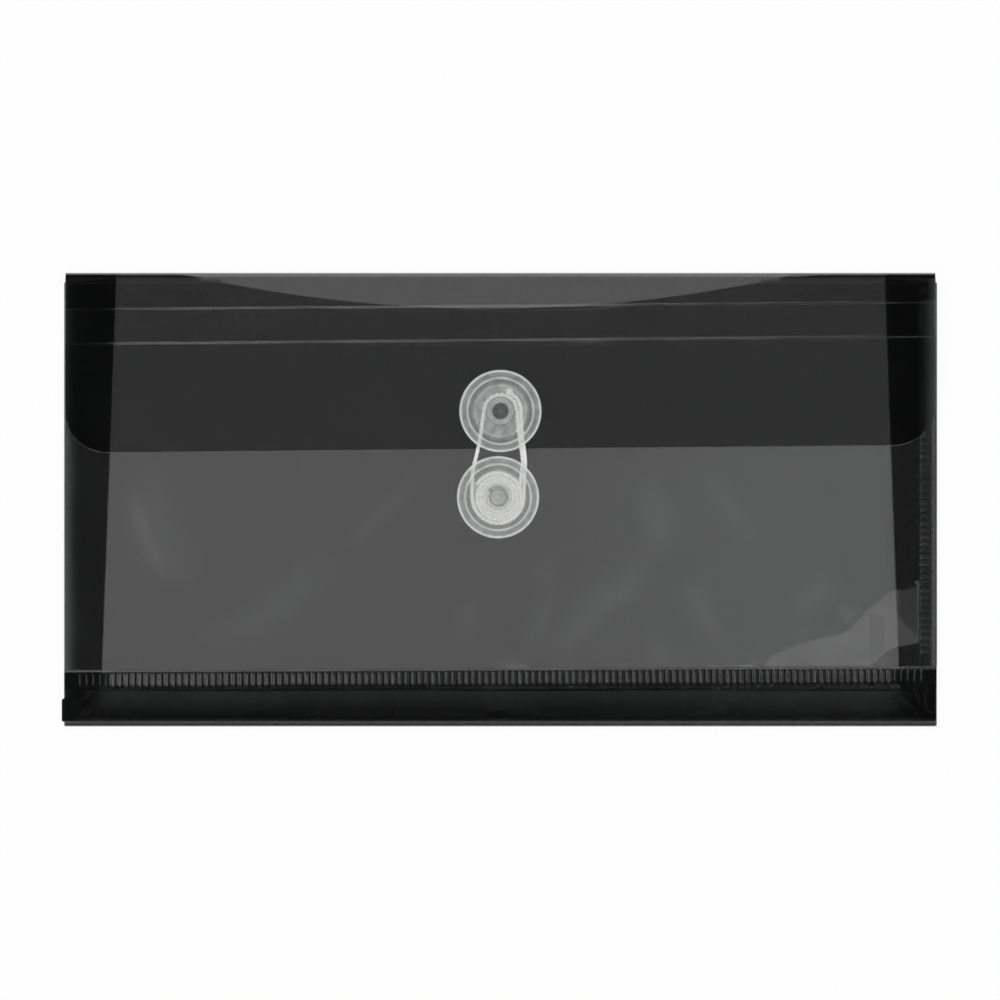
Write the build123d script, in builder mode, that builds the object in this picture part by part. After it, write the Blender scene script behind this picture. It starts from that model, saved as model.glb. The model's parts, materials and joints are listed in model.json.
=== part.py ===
from build123d import *
import os
from math import pi, radians, tan

# String tie envelope of translucent polypropylene sheet, lying on its back.
# X runs along the width, Y up the front, Z out of the front. Millimetres.
# The origin is under the middle of the outline, on the surface it lies on.

# Outline and sheet
envelope_width = 254.0
envelope_height = 131.7
sheet = 0.3
layer_gap = 0.2
fold_gap = 0.15

# Front panel
thumb_cut_width = 180.0
thumb_cut_depth = 8.0
front_setback = 1.4

# Gussets: the side gussets are deeper at the mouth than at the bottom
gusset_depth_mouth = 14.9
gusset_depth_bottom = 10.1

# Seam tabs on the front, welded in rows of short bars
bottom_tab_height = 16.6
right_tab_width = 5.1
weld_pitch = 1.95
weld_bar_width = 0.9
weld_bar_length = 3.5
weld_bar_depth = 0.1
bottom_weld_inset = 1.3
right_weld_inset = 2.2
right_weld_length = 2.3
weld_end_margin = 2.5

# Flap
flap_length = 51.2
flap_side_inset = 0.3
flap_corner_radius = 12.2
fold_strip_width = 0.6
first_crease = 9.3
second_crease = 19.3

# Tie discs, rivets and washers
disc_radius = 12.0
disc_thickness = 0.9
disc_standoff = 2.0
rim_width = 1.0
ring_radius = 8.75
ring_width = 0.7
ring_height = 0.3
disc_edge_fillet = 0.25
disc_float = 0.1
post_radius = 2.3
post_clearance = 0.1
rivet_head_radius = 3.95
rivet_head_thickness = 0.7
rivet_head_fillet = 0.3
dimple_radius = 2.2
dimple_depth = 0.5
washer_radius = 4.5
washer_thickness = 0.3
staking_clearance = 0.05
upper_disc_inset = 11.2
disc_spacing = 1.1
lower_disc_shift = -0.7

# String
string_diameter = 1.2
string_clearance = 0.15
turn_pitch = 1.9
lower_half_turns = 3
bight_spacing = 1.65
upper_bight_radius = 4.7
turns_lead = 3.0
knot_radius = 0.8
edge_overhang = 0.5
strand_settle = 6.5
left_edge_lean = 2.2
right_edge_lean = 0.3

# Heights of the layers, from the surface up
layer_pitch = sheet + layer_gap
rear_gusset_z = layer_pitch
front_gusset_z = rear_gusset_z + layer_pitch
front_z = front_gusset_z + layer_pitch
front_top = front_z + sheet
flap_z = front_top + max(sheet, washer_thickness) + layer_gap
flap_top = flap_z + sheet

# Edges and fold lines in the plane of the sheet
half_width = envelope_width / 2
top_edge = envelope_height / 2
bottom_edge = -envelope_height / 2
roll_radius = flap_top / 2
fold_line = top_edge - roll_radius
front_edge = fold_line - front_setback
flap_edge = top_edge - flap_length
gusset_top = fold_line - fold_gap
gusset_taper = (gusset_depth_mouth - gusset_depth_bottom) / (fold_line - bottom_edge)
corner_depth = gusset_depth_bottom / (1 - gusset_taper)

# Places of the ties, and the radii of the string round their posts
upper_x = 0.0
upper_y = flap_edge + upper_disc_inset
lower_x = lower_disc_shift
lower_y = upper_y - disc_radius - disc_spacing - disc_radius
string_radius = string_diameter / 2
upper_string_z = flap_top + string_clearance + string_radius
lower_string_z = front_top + string_clearance + string_radius
inner_turn_radius = post_radius + string_clearance + string_radius
outer_turn_radius = inner_turn_radius + lower_half_turns * turn_pitch / 2
lower_bight_radius = outer_turn_radius + bight_spacing
anchor_radius = upper_bight_radius + bight_spacing

os.makedirs("parts", exist_ok=True)


def finish(part, label):
    part.label = label
    export_step(part, f"parts/{label}.step")


# Back panel, and the roll that carries the sheet round the top edge to the flap
with BuildPart() as back_panel:
    with BuildSketch():
        with Locations((0, (fold_line + bottom_edge) / 2)):
            Rectangle(envelope_width, fold_line - bottom_edge)
    extrude(amount=sheet)
finish(back_panel.part, "back_panel")

with BuildPart() as top_fold:
    with BuildSketch(Plane.YZ.offset(-half_width)):
        with BuildLine():
            CenterArc((fold_line, roll_radius), roll_radius, -90, 180)
            CenterArc((fold_line, roll_radius), roll_radius - sheet, -90, 180)
            Line((fold_line, 0), (fold_line, sheet))
            Line((fold_line, flap_z), (fold_line, flap_top))
        make_face()
    extrude(amount=envelope_width)
finish(top_fold.part, "top_fold")


# Side gussets: each half runs from the side edge to the slanted inner fold, mitred at the bottom corner
def side_gusset(label, side, z):
    mouth_depth = gusset_depth_mouth - (fold_line - gusset_top) * gusset_taper
    inner_end = bottom_edge + corner_depth
    with BuildPart() as gusset:
        with BuildSketch(Plane.XY.offset(z)):
            with BuildLine():
                Polyline(
                    (side * half_width, bottom_edge + fold_gap),
                    (side * half_width, gusset_top),
                    (side * (half_width - mouth_depth), gusset_top),
                    (side * (half_width - corner_depth), inner_end + fold_gap),
                    close=True,
                )
            make_face()
        extrude(amount=sheet)
    finish(gusset.part, label)


for side_name, side in (("left", -1), ("right", 1)):
    side_gusset(f"{side_name}_gusset_rear", side, rear_gusset_z)
    side_gusset(f"{side_name}_gusset_front", side, front_gusset_z)


# Bottom gusset: two halves mitred at both corners
def bottom_gusset(label, z):
    corner = half_width - fold_gap
    with BuildPart() as gusset:
        with BuildSketch(Plane.XY.offset(z)):
            with BuildLine():
                Polyline(
                    (-corner, bottom_edge),
                    (corner, bottom_edge),
                    (corner - corner_depth, bottom_edge + corner_depth),
                    (corner_depth - corner, bottom_edge + corner_depth),
                    close=True,
                )
            make_face()
        extrude(amount=sheet)
    finish(gusset.part, label)


bottom_gusset("bottom_gusset_rear", rear_gusset_z)
bottom_gusset("bottom_gusset_front", front_gusset_z)

# Front panel with the thumb cut along its top edge and the hole for the lower rivet
with BuildPart() as front_panel:
    with BuildSketch(Plane.XY.offset(front_z)):
        with BuildLine():
            Polyline(
                (-thumb_cut_width / 2, front_edge),
                (-half_width, front_edge),
                (-half_width, bottom_edge),
                (half_width, bottom_edge),
                (half_width, front_edge),
                (thumb_cut_width / 2, front_edge),
            )
            ThreePointArc(
                (-thumb_cut_width / 2, front_edge),
                (0, front_edge - thumb_cut_depth),
                (thumb_cut_width / 2, front_edge),
            )
        make_face()
        with Locations((lower_x, lower_y)):
            Circle(post_radius + staking_clearance, mode=Mode.SUBTRACT)
    extrude(amount=sheet)
finish(front_panel.part, "front_panel")

# Bottom seam tab, turned up over the front and welded along its upper edge
bottom_weld_count = int((envelope_width - 2 * weld_end_margin) / weld_pitch)
bottom_weld_y = bottom_edge + bottom_tab_height - bottom_weld_inset - weld_bar_length / 2
with BuildPart() as bottom_seam_tab:
    with BuildSketch(Plane.XY.offset(front_top)):
        with Locations((0, bottom_edge + bottom_tab_height / 2)):
            Rectangle(envelope_width, bottom_tab_height)
    extrude(amount=sheet)
    with BuildSketch(Plane.XY.offset(front_top + sheet)):
        with Locations((0, bottom_weld_y)):
            with GridLocations(weld_pitch, 0, bottom_weld_count, 1):
                Rectangle(weld_bar_width, weld_bar_length)
    extrude(amount=-weld_bar_depth, mode=Mode.SUBTRACT)
finish(bottom_seam_tab.part, "bottom_seam_tab")

# Right seam tab, from the mouth down to the bottom tab
right_tab_bottom = bottom_edge + bottom_tab_height + fold_gap
right_tab_length = front_edge - right_tab_bottom
right_tab_y = (front_edge + right_tab_bottom) / 2
right_weld_count = int((right_tab_length - 2 * weld_end_margin) / weld_pitch)
right_weld_x = half_width - right_weld_inset - right_weld_length / 2
with BuildPart() as right_seam_tab:
    with BuildSketch(Plane.XY.offset(front_top)):
        with Locations((half_width - right_tab_width / 2, right_tab_y)):
            Rectangle(right_tab_width, right_tab_length)
    extrude(amount=sheet)
    with BuildSketch(Plane.XY.offset(front_top + sheet)):
        with Locations((right_weld_x, right_tab_y)):
            with GridLocations(0, weld_pitch, 1, right_weld_count):
                Rectangle(right_weld_length, weld_bar_width)
    extrude(amount=-weld_bar_depth, mode=Mode.SUBTRACT)
finish(right_seam_tab.part, "right_seam_tab")


# Flap strips between the top fold and the second crease
flap_width = envelope_width - 2 * flap_side_inset
fold_strip_end = fold_line - fold_strip_width
first_crease_line = top_edge - first_crease
second_crease_line = top_edge - second_crease


def flap_strip(label, upper_line, lower_line):
    upper_end = upper_line - fold_gap / 2
    lower_end = lower_line + fold_gap / 2
    with BuildPart() as strip:
        with BuildSketch(Plane.XY.offset(flap_z)):
            with Locations((0, (upper_end + lower_end) / 2)):
                Rectangle(flap_width, upper_end - lower_end)
        extrude(amount=sheet)
    finish(strip.part, label)


flap_strip("flap_fold_strip", fold_line, fold_strip_end)
flap_strip("flap_upper_strip", fold_strip_end, first_crease_line)
flap_strip("flap_lower_strip", first_crease_line, second_crease_line)

# Main flap panel with rounded lower corners and the hole for the upper rivet
with BuildPart() as flap_panel:
    flap_panel_top = second_crease_line - fold_gap / 2
    with BuildSketch(Plane.XY.offset(flap_z)) as flap_outline:
        with Locations((0, (flap_panel_top + flap_edge) / 2)):
            Rectangle(flap_width, flap_panel_top - flap_edge)
        fillet(flap_outline.vertices().group_by(Axis.Y)[0], flap_corner_radius)
        with Locations((upper_x, upper_y)):
            Circle(post_radius + staking_clearance, mode=Mode.SUBTRACT)
    extrude(amount=sheet)
finish(flap_panel.part, "flap_panel")


# Tie disc: a clear moulded disc with a raised rim and one raised ring
def tie_disc(label, base):
    top = base.offset(disc_thickness)
    with BuildPart() as disc:
        with BuildSketch(base):
            Circle(disc_radius)
            Circle(post_radius + post_clearance, mode=Mode.SUBTRACT)
        extrude(amount=disc_thickness)
        for outer, width in ((disc_radius, rim_width), (ring_radius, ring_width)):
            with BuildSketch(top):
                Circle(outer)
                Circle(outer - width, mode=Mode.SUBTRACT)
            extrude(amount=ring_height)
        rim_edges = disc.edges().filter_by(GeomType.CIRCLE).group_by(SortBy.RADIUS)[-1]
        fillet(rim_edges, disc_edge_fillet)
    finish(disc.part, label)


# Rivet: a post through the sheet and the disc, under a dimpled head
def rivet(label, foot, post_length):
    head = foot.offset(post_length)
    head_top = head.offset(rivet_head_thickness)
    with BuildPart() as body:
        with BuildSketch(foot):
            Circle(post_radius)
        extrude(amount=post_length)
        with BuildSketch(head):
            Circle(rivet_head_radius)
        extrude(amount=rivet_head_thickness)
        fillet(body.faces().sort_by(Axis.Z)[-1].edges(), rivet_head_fillet)
        with BuildSketch(head_top):
            Circle(dimple_radius)
        extrude(amount=-dimple_depth, mode=Mode.SUBTRACT)
    finish(body.part, label)


# Washer that the rivet's foot is staked into, on the hidden side of the sheet
def rivet_washer(label, foot):
    with BuildPart() as washer:
        with BuildSketch(foot):
            Circle(washer_radius)
            Circle(post_radius + staking_clearance, mode=Mode.SUBTRACT)
        extrude(amount=washer_thickness)
    finish(washer.part, label)


post_length = washer_thickness + sheet + disc_standoff + disc_thickness + disc_float
for tie_name, tie_x, tie_y, sheet_z in (
    ("upper", upper_x, upper_y, flap_z),
    ("lower", lower_x, lower_y, front_z),
):
    tie_foot = Plane((tie_x, tie_y, sheet_z - washer_thickness))
    tie_disc(f"{tie_name}_tie_disc", Plane((tie_x, tie_y, sheet_z + sheet + disc_standoff)))
    rivet(f"{tie_name}_rivet", tie_foot, post_length)
    rivet_washer(f"{tie_name}_rivet_washer", tie_foot)


# String pieces: round tubes along their routes
def string_piece(label, routes, knots=()):
    with BuildPart() as piece:
        for route in routes:
            with BuildSketch(Plane(origin=route @ 0, z_dir=route % 0)):
                Circle(string_radius)
            sweep(path=route)
        for knot in knots:
            with BuildSketch(Plane(knot)):
                with BuildLine():
                    CenterArc((0, 0), knot_radius, 0, 180)
                    Line((knot_radius, 0), (-knot_radius, 0))
                make_face()
            revolve(axis=Axis(knot, (1, 0, 0)))
    finish(piece.part, label)
    length = sum(route.length for route in routes)
    share = piece.part.volume / (pi * string_radius**2 * length)
    print(label, "length", round(length, 2), "volume share", round(share, 4))


# Turns round the lower post: half circles that grow by half a pitch each, from the inside out
turn_ends = [-inner_turn_radius]
for half_turn in range(lower_half_turns):
    reach = inner_turn_radius + (half_turn + 1) * turn_pitch / 2
    turn_ends.append(-reach if half_turn % 2 else reach)
with BuildLine(Plane((lower_x, lower_y, lower_string_z))) as turns_path:
    Line((turn_ends[0], string_diameter), (turn_ends[0], 0))
    for start, end in zip(turn_ends, turn_ends[1:]):
        CenterArc(((start + end) / 2, 0), abs(end - start) / 2, 180 if start < end else 0, 180)
    Line((turn_ends[-1], 0), (turn_ends[-1], turns_lead))
string_piece("string_lower_turns", [turns_path.wire()])

# Least gap of the turns to themselves, on points further apart along the string than three diameters
samples = 240
turns_wire = turns_path.wire()
turn_points = [turns_wire @ (i / samples) for i in range(samples + 1)]
skip = int(3 * string_diameter / turns_wire.length * samples) + 1
least_gap = min(
    (turn_points[i] - turn_points[j]).length - string_diameter
    for i in range(samples + 1)
    for j in range(i + skip, samples + 1)
)
print("least gap of the turns to themselves", round(least_gap, 3))

# Bight under the lower post, outside the turns
with BuildLine(Plane((lower_x, lower_y, lower_string_z))) as lower_bight_path:
    CenterArc((0, 0), lower_bight_radius, 180, 180)
string_piece("string_lower_bight", [lower_bight_path.wire()])

# Bight over the upper post, and outside it the fixed end, an arch that ends in a knot
with BuildLine(Plane((upper_x, upper_y, upper_string_z))) as upper_bight_path:
    CenterArc((0, 0), upper_bight_radius, 0, 180)
string_piece("string_upper_bight", [upper_bight_path.wire()])

with BuildLine(Plane((upper_x, upper_y, upper_string_z))) as fixed_end_path:
    CenterArc((0, 0), anchor_radius, 0, 90)
    Line((0, anchor_radius), (-string_diameter, anchor_radius))
knot_place = (upper_x - string_diameter, upper_y + anchor_radius, flap_top + string_clearance + knot_radius)
string_piece("string_fixed_end", [fixed_end_path.wire()], [knot_place])

# Strands between the discs: level over the flap's edge, then down to the front panel
edge_y = flap_edge - edge_overhang
settle_y = lower_y + strand_settle
strand_ends = (
    (-upper_bight_radius, -lower_bight_radius, 0, -left_edge_lean),
    (upper_bight_radius, outer_turn_radius, turns_lead, right_edge_lean),
    (anchor_radius, lower_bight_radius, 0, right_edge_lean),
)
bend_share = 0.45


def strand_radii(points):
    radii = []
    for before, corner, after in zip(points, points[1:], points[2:]):
        first_run = corner - before
        second_run = after - corner
        turn = first_run.get_angle(second_run)
        radii.append(bend_share * min(first_run.length, second_run.length) / tan(radians(turn / 2)))
    return radii


strand_paths = []
for upper_offset, lower_offset, lower_lead, lean in strand_ends:
    route = [
        Vector(upper_x + upper_offset, upper_y - fold_gap, upper_string_z),
        Vector(upper_x + upper_offset + lean, edge_y, upper_string_z),
        Vector(lower_x + lower_offset, settle_y, lower_string_z),
        Vector(lower_x + lower_offset, lower_y + lower_lead + fold_gap, lower_string_z),
    ]
    bends = strand_radii(route)
    print("strand bend radii", [round(bend, 1) for bend in bends])
    with BuildLine() as strand_path:
        FilletPolyline(*route, radius=bends)
    strand_paths.append(strand_path.wire())
string_piece("string_strands", strand_paths)
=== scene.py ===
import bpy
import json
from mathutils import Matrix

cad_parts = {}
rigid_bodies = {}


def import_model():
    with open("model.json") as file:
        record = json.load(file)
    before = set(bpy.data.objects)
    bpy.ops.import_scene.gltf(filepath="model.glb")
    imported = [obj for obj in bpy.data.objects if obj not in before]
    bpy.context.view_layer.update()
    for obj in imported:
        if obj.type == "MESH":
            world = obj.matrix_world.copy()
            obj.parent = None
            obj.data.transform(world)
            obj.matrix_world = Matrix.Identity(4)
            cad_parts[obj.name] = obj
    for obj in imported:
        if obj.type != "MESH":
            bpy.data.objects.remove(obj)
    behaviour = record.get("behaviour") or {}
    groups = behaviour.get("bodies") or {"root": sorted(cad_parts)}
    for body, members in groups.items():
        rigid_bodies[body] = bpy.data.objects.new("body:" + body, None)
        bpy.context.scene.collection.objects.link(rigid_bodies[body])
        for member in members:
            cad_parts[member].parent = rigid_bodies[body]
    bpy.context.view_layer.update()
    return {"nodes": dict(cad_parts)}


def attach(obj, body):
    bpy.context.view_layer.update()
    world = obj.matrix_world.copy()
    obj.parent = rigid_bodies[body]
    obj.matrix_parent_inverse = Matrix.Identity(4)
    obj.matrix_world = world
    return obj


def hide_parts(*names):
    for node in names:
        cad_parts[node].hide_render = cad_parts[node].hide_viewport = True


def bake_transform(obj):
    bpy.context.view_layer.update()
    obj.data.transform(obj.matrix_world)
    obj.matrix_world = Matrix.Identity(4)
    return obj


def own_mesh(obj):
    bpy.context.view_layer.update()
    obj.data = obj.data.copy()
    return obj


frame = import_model()

import bpy
import json
import math
import random
import numpy as np

# String tie envelope of smoke polypropylene, lying on its back
# All lengths are written in millimetres and turned to metres when a mesh is made
mm = 0.001
print("frame loaded,", len(frame["nodes"]), "nodes")


def hexColour(code):
    channels = [int(code[i:i + 2], 16) / 255 for i in (1, 3, 5)]
    linear = [c / 12.92 if c <= 0.04045 else ((c + 0.055) / 1.055) ** 2.4 for c in channels]
    return (*linear, 1.0)


# An input takes a value, or a link when it is given another node's socket
def setInputs(tree, node, inputs):
    for key, value in inputs.items():
        if isinstance(value, bpy.types.NodeSocket):
            tree.links.new(value, node.inputs[key])
        else:
            node.inputs[key].default_value = value


def addNode(tree, kind, inputs=None, **settings):
    node = tree.nodes.new("ShaderNode" + kind)
    for key, value in settings.items():
        setattr(node, key, value)
    setInputs(tree, node, inputs or {})
    return node


def newMaterial(name):
    material = bpy.data.materials.new(name)
    material.use_nodes = True
    return material, material.node_tree, material.node_tree.nodes["Principled BSDF"]


def addObject(name, data):
    added = bpy.data.objects.new(name, data)
    bpy.context.scene.collection.objects.link(added)
    return added


# Camera straight above, as the photograph was taken, with the envelope's length across the frame
camera = {"pixel": 0.2911, "frame": 1000, "right": -0.13, "up": -0.05, "height": 500}
cameraData = bpy.data.cameras.new("camera")
cameraData.type = "ORTHO"
cameraData.ortho_scale = camera["pixel"] * camera["frame"] * mm
cameraObject = addObject("camera", cameraData)
cameraObject.location = (camera["right"] * mm, camera["up"] * mm, camera["height"] * mm)
bpy.context.scene.camera = cameraObject
bpy.context.scene.view_settings.view_transform = "Standard"
print("camera set")

# Extruded polypropylene sheet, smoke tint: dark clear film with a soft gloss,
# paler where it is scored, cut or welded, with a faint haze and hairline scratches.
# The tone of each point is above zero where it is stressed, and also where highlights and reflections are
# painted into the film (the top fold's rim, the gussets' folds, the flap's creases, the wrinkles' streaks);
# below zero where layers are fused
look = {
    "tint": "#0a0b0b", "stressedAndLit": "#ccd0d2", "opacity": 0.45, "stressedAndLitOpacity": 0.86,
    "roughness": (0.05, 0.09), "stressedAndLitRoughness": 0.35, "ior": 1.49,
    "specular": 1.0,          # the opacity thins the gloss again
    "hazeSize": 16.0, "hazeSpan": (0.3, 0.7),
    "grainSize": 0.9, "grainHeight": 0.0008, "grainStrength": 0.5,
    "scratchLength": 14.0, "scratchTurn": 38,
    "scratchWidth": 0.5,      # real hairlines are finer, drawn this wide to show
    "scratchSpan": (0.68, 0.78), "scratchTone": 0.012,
}
smokeSheet, tree, shader = newMaterial("smoke_polypropylene_sheet")
place = addNode(tree, "TexCoord").outputs["Object"]
tone = addNode(tree, "Attribute", attribute_name="tone").outputs["Fac"]
haze = addNode(tree, "TexNoise", {
    "Scale": 1 / (look["hazeSize"] * mm), "Detail": 3.0, "Vector": place,
})
turned = addNode(tree, "Mapping", {
    "Rotation": (0, 0, math.radians(look["scratchTurn"])), "Vector": place,
    "Scale": (1 / (look["scratchLength"] * mm), 1 / (look["scratchWidth"] * mm), 1),
})
scratch = addNode(tree, "TexNoise", {"Scale": 1.0, "Detail": 1.0, "Vector": turned.outputs["Vector"]})
scratchMark = addNode(tree, "MapRange", {
    "From Min": look["scratchSpan"][0], "From Max": look["scratchSpan"][1],
    "To Min": 0.0, "To Max": look["scratchTone"], "Value": scratch.outputs["Fac"],
})
markedAndLit = addNode(
    tree, "Math", {0: tone, 1: scratchMark.outputs["Result"]}, operation="ADD", use_clamp=True
).outputs["Value"]
# Positive tone pales the film towards the stressed colour: real whitening of scores, cuts, welds and
# scratches, and painted highlights and reflections
pale = addNode(
    tree, "Mix", {0: markedAndLit, 6: hexColour(look["tint"]), 7: hexColour(look["stressedAndLit"])},
    data_type="RGBA",
)
solid = addNode(tree, "MapRange", {
    "To Min": look["opacity"], "To Max": look["stressedAndLitOpacity"], "Value": markedAndLit,
})
fused = addNode(tree, "Math", {0: tone, 1: -1.0}, operation="MULTIPLY", use_clamp=True)
fusedSolid = addNode(
    tree, "Math", {0: solid.outputs["Result"], 1: fused.outputs["Value"]}, operation="ADD", use_clamp=True
)
rough = addNode(tree, "MapRange", {
    "From Min": look["hazeSpan"][0], "From Max": look["hazeSpan"][1],
    "To Min": look["roughness"][0], "To Max": look["roughness"][1], "Value": haze.outputs["Fac"],
})
roughened = addNode(
    tree, "Math", {0: markedAndLit, 1: look["stressedAndLitRoughness"], 2: rough.outputs["Result"]},
    operation="MULTIPLY_ADD", use_clamp=True,
)
grain = addNode(tree, "TexNoise", {
    "Scale": 1 / (look["grainSize"] * mm), "Detail": 2.0, "Vector": place,
})
grainBump = addNode(tree, "Bump", {
    "Strength": look["grainStrength"], "Distance": look["grainHeight"] * mm,
    "Height": grain.outputs["Fac"],
})
setInputs(tree, shader, {
    "IOR": look["ior"], "Specular IOR Level": look["specular"],
    "Base Color": pale.outputs[2], "Alpha": fusedSolid.outputs["Value"],
    "Roughness": roughened.outputs["Value"], "Normal": grainBump.outputs["Normal"],
})

# Natural polypropylene, injection moulded: milky and see-through,
# whiter on thick beads, partly for the thicker plastic and partly as painted highlights on their bevels,
# whitened over the string's winding as painted light, with faint flow marks out from the gate
look = {
    "milk": "#d6d9d8", "thickAndLit": "#f6f7f6", "opacity": 0.14, "thickAndLitOpacity": 0.72,
    "roughness": (0.24, 0.38), "ior": 1.49, "specular": 0.8,
    "flowSize": 2.6, "flowSpan": (0.3, 0.7), "flowTone": 0.1, "flowHeight": 0.02, "flowStrength": 0.35,
}
milkyPlastic, tree, shader = newMaterial("natural_polypropylene_moulded")
place = addNode(tree, "TexCoord").outputs["Object"]
tone = addNode(tree, "Attribute", attribute_name="tone").outputs["Fac"]
flow = addNode(tree, "TexNoise", {
    "Scale": 1 / (look["flowSize"] * mm), "Detail": 4.0, "Vector": place,
}).outputs["Fac"]
flowShift, rough = (
    addNode(tree, "MapRange", {
        "From Min": look["flowSpan"][0], "From Max": look["flowSpan"][1],
        "To Min": low, "To Max": high, "Value": flow,
    }).outputs["Result"]
    for low, high in ((-look["flowTone"], look["flowTone"]), look["roughness"])
)
# Tone and flow marks together: thicker plastic, with painted highlights on the beads and painted light over
# the winding
thickAndLit = addNode(tree, "Math", {0: tone, 1: flowShift}, operation="ADD", use_clamp=True).outputs["Value"]
milk = addNode(
    tree, "Mix", {0: thickAndLit, 6: hexColour(look["milk"]), 7: hexColour(look["thickAndLit"])},
    data_type="RGBA",
)
solid = addNode(tree, "MapRange", {
    "To Min": look["opacity"], "To Max": look["thickAndLitOpacity"], "Value": thickAndLit,
})
flowBump = addNode(tree, "Bump", {
    "Strength": look["flowStrength"], "Distance": look["flowHeight"] * mm, "Height": flow,
})
setInputs(tree, shader, {
    "IOR": look["ior"], "Specular IOR Level": look["specular"],
    "Base Color": milk.outputs[2], "Alpha": solid.outputs["Result"],
    "Roughness": rough, "Normal": flowBump.outputs["Normal"],
})

# Cotton twine, three plies twisted: soft white, matt, with a short nap
look = {
    "white": "#fdfdfb", "shade": "#efede8", "roughness": 0.86, "sheen": 0.3,
    "fibreSize": 0.35,        # the fibres are finer, drawn this wide to show
    "napHeight": 0.05, "napStrength": 0.6,
}
cottonTwine, tree, shader = newMaterial("cotton_twine_twisted")
place = addNode(tree, "TexCoord").outputs["Object"]
fibre = addNode(tree, "TexNoise", {
    "Scale": 1 / (look["fibreSize"] * mm), "Detail": 3.0, "Vector": place,
}).outputs["Fac"]
shade = addNode(
    tree, "Mix", {0: fibre, 6: hexColour(look["shade"]), 7: hexColour(look["white"])},
    data_type="RGBA",
)
nap = addNode(tree, "Bump", {
    "Strength": look["napStrength"], "Distance": look["napHeight"] * mm, "Height": fibre,
})
setInputs(tree, shader, {
    "Roughness": look["roughness"], "Sheen Weight": look["sheen"],
    "Base Color": shade.outputs[2], "Normal": nap.outputs["Normal"],
})
print("materials made")


# A skin of quads on both sides of a grid of points, closed round its rim
def gridShell(rows, above, below, tones):
    points = np.asarray(rows, float)
    normal = np.cross(np.gradient(points, axis=1), np.gradient(points, axis=0))
    normal /= np.linalg.norm(normal, axis=2, keepdims=True)
    spread = np.ones(points.shape[:2])
    top = points + normal * (spread * above)[..., None]
    under = points - normal * (spread * below)[..., None]
    index = np.arange(spread.size).reshape(spread.shape)
    upper = np.stack([index[:-1, :-1], index[:-1, 1:], index[1:, 1:], index[1:, :-1]], -1).reshape(-1, 4)
    quads = [upper, np.roll(upper[:, ::-1], 1, 1) + spread.size]
    for edge, flip in ((index[0], True), (index[-1], False), (index[:, 0], False), (index[:, -1], True)):
        other = edge + spread.size
        rim = np.stack([edge[:-1], edge[1:], other[1:], other[:-1]], -1)
        quads.append(rim[:, ::-1] if flip else rim)
    vertices = np.concatenate([top.reshape(-1, 3), under.reshape(-1, 3)])
    toneRow = (spread * tones).reshape(-1)
    return vertices, np.concatenate(quads), np.concatenate([toneRow, toneRow])


# A closed profile of (radius, height, tone) turned about an upright axis
def turnedShell(profile, centre, segments):
    profile = np.asarray(profile, float)
    after = np.roll(profile, -1, 0)
    if (profile[:, 0] * after[:, 1] - after[:, 0] * profile[:, 1]).sum() < 0:
        profile = profile[::-1]    # so that the faces look outward
    turn = np.arange(segments) * 2 * math.pi / segments
    x = centre[0] + np.outer(np.cos(turn), profile[:, 0])
    y = centre[1] + np.outer(np.sin(turn), profile[:, 0])
    z = np.broadcast_to(profile[:, 1], x.shape)
    index = np.arange(x.size).reshape(x.shape)
    nextTurn = np.roll(index, -1, 0)
    quads = np.stack([index, nextTurn, np.roll(nextTurn, -1, 1), np.roll(index, -1, 1)], -1)
    tones = np.broadcast_to(profile[:, 2], x.shape)
    return np.stack([x, y, z], -1).reshape(-1, 3), quads.reshape(-1, 4), tones.reshape(-1)


def addMesh(name, vertices, faces, material):
    mesh = bpy.data.meshes.new(name)
    mesh.from_pydata((np.asarray(vertices) * mm).tolist(), [], faces)
    mesh.update()
    mesh.polygons.foreach_set("use_smooth", np.ones(len(mesh.polygons), bool))
    mesh.materials.append(material)
    piece = addObject(name, mesh)
    return piece


def makePiece(name, shells, material, sharpAngle):
    faces = []
    start = 0
    for shellVertices, shellFaces, _ in shells:
        faces.append(shellFaces + start)
        start += len(shellVertices)
    vertices = np.concatenate([shell[0] for shell in shells])
    piece = addMesh(name, vertices, np.concatenate(faces).tolist(), material)
    tones = np.concatenate([shell[2] for shell in shells])
    attribute = piece.data.attributes.new("tone", "FLOAT", "POINT")
    attribute.data.foreach_set("value", tones.astype(np.float32))
    piece.data.set_sharp_from_angle(angle=math.radians(sharpAngle))
    return piece


def sheetPiece(name, *shells):
    return makePiece(name, shells, smokeSheet, blank["sharpAngle"])


def ridePiece(piece, body, *nodes):
    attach(piece, body)
    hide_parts(*nodes)


# Even steps between two ends, with closer lines beside places that need them
def gridLines(start, end, step, *extra):
    lines = np.linspace(start, end, max(2, round((end - start) / step) + 1))
    kept = [v for v in extra if start < v < end]
    if kept:
        gap = np.abs(lines[:, None] - np.asarray(kept)[None, :]).min(1)
        inner = (lines == start) | (lines == end) | (gap > 0.08)
        lines = np.concatenate([lines[inner], kept])
    return np.unique(lines)


def smooth(value, low, high):
    t = np.clip((value - low) / (high - low), 0, 1)
    return t * t * (3 - 2 * t)


def bump(value, centre, width):
    return np.exp(-0.5 * ((value - centre) / width) ** 2)


# Sheet sizes shared by the panels
blank = {
    "halfWidth": 127.0, "bottom": -65.85, "foldLine": 64.55, "sheet": 0.3, "sharpAngle": 38,
    "edgeRound": 0.14, "edgeThin": 0.35, "fold": 0.25, "foldSteps": 9,
}
outEdge, lowEdge, foldLine = blank["halfWidth"], blank["bottom"], blank["foldLine"]
half = blank["sheet"] / 2
edgeRound = blank["edgeRound"]
foldReach = blank["fold"] + half
sideLine = outEdge - foldReach
bottomLine = lowEdge + foldReach
foldTurn = np.linspace(0, math.pi, blank["foldSteps"])

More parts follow.
